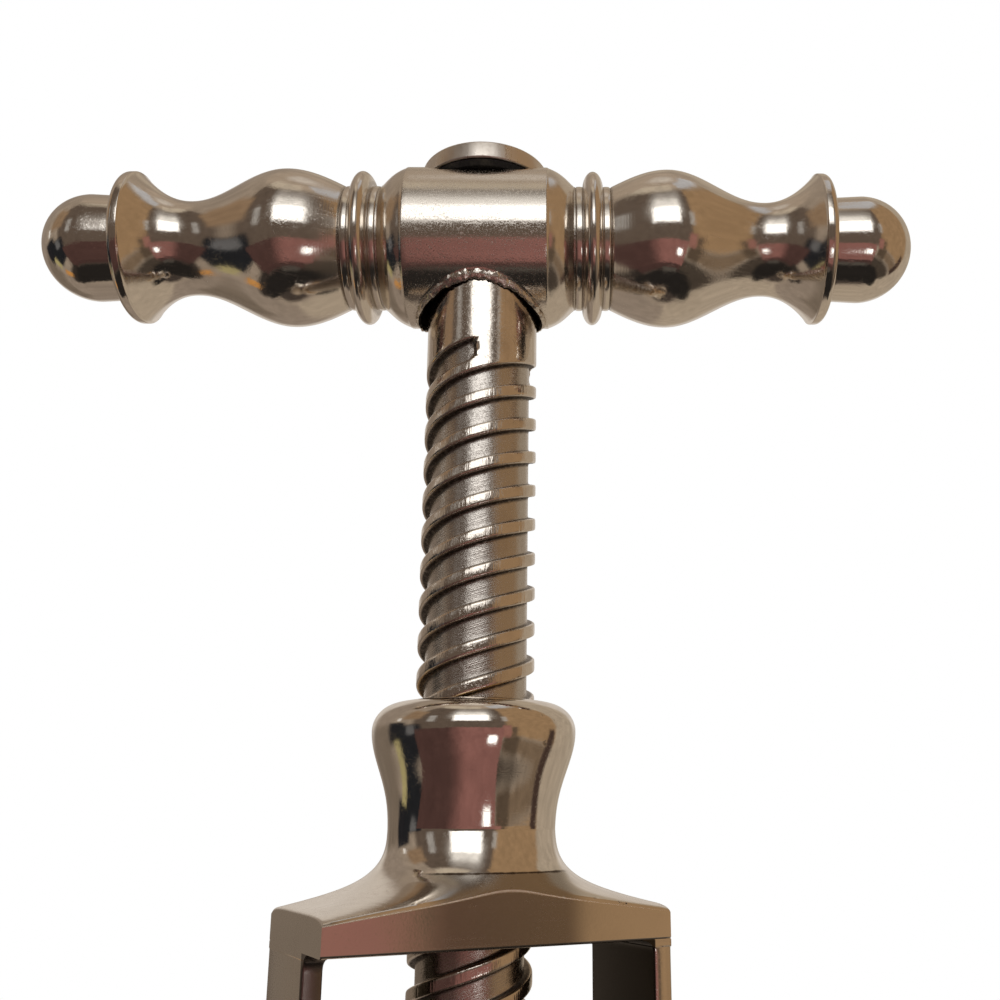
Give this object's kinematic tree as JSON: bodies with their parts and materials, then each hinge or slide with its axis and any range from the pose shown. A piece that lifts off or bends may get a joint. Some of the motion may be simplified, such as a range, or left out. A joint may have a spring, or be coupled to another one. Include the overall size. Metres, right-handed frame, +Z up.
{
  "type": "open-frame corkscrew",
  "caption": "Open-frame corkscrew: a turned bar handle on a coarse right-hand screw drives a worm down through the collar of a legged frame whose ring sits on the bottle.",
  "frame": {"origin": "centre of the ring's bottom face, where it meets the bottle's neck", "axes": "+Z up along the screw; the legs stand at -X and +X; -Y is the side nearer the picture's viewer; at rest the handle is turned 27.3 degrees clockwise from X seen from above"},
  "size_m": [0.0883, 0.0513, 0.1662],
  "materials": {
    "nickel": "polished warm nickel plate with fine scratches",
    "screw_steel": "bright turned steel, duller in the thread's grooves",
    "worm_steel": "bright drawn steel wire",
    "nut_bronze": "plain machined bronze",
    "washer_leather": "dark oiled leather"
  },
  "bodies": {
    "frame": {"bottle_ring": "nickel", "left_leg": "nickel", "right_leg": "nickel", "frame_head": "nickel", "thread_nut": "nut_bronze"},
    "lift": {"head_washer": "washer_leather"},
    "spindle": {"screw": "screw_steel", "worm": "worm_steel", "worm_pin": "worm_steel", "handle_barrel": "nickel", "handle_rod": "screw_steel", "left_bead": "nickel", "right_bead": "nickel", "left_grip": "nickel", "right_grip": "nickel", "left_cap": "nickel", "right_cap": "nickel", "screw_head": "nickel"}
  },
  "joints": [
    {"name": "screw_lift", "type": "slide", "parent": "frame", "child": "lift", "axis": [0, 0, 1], "range_m": [-0.0357, 0.0113]},
    {"name": "handle_turn", "type": "hinge", "parent": "lift", "child": "spindle", "pos_m": [0, 0, 0.157], "axis": [0, 0, 1], "range_deg": [-1139, 360]}
  ],
  "couplings": [
    {"joint": "screw_lift", "follows": "handle_turn", "m_per_rad": 0.0017905}
  ]
}
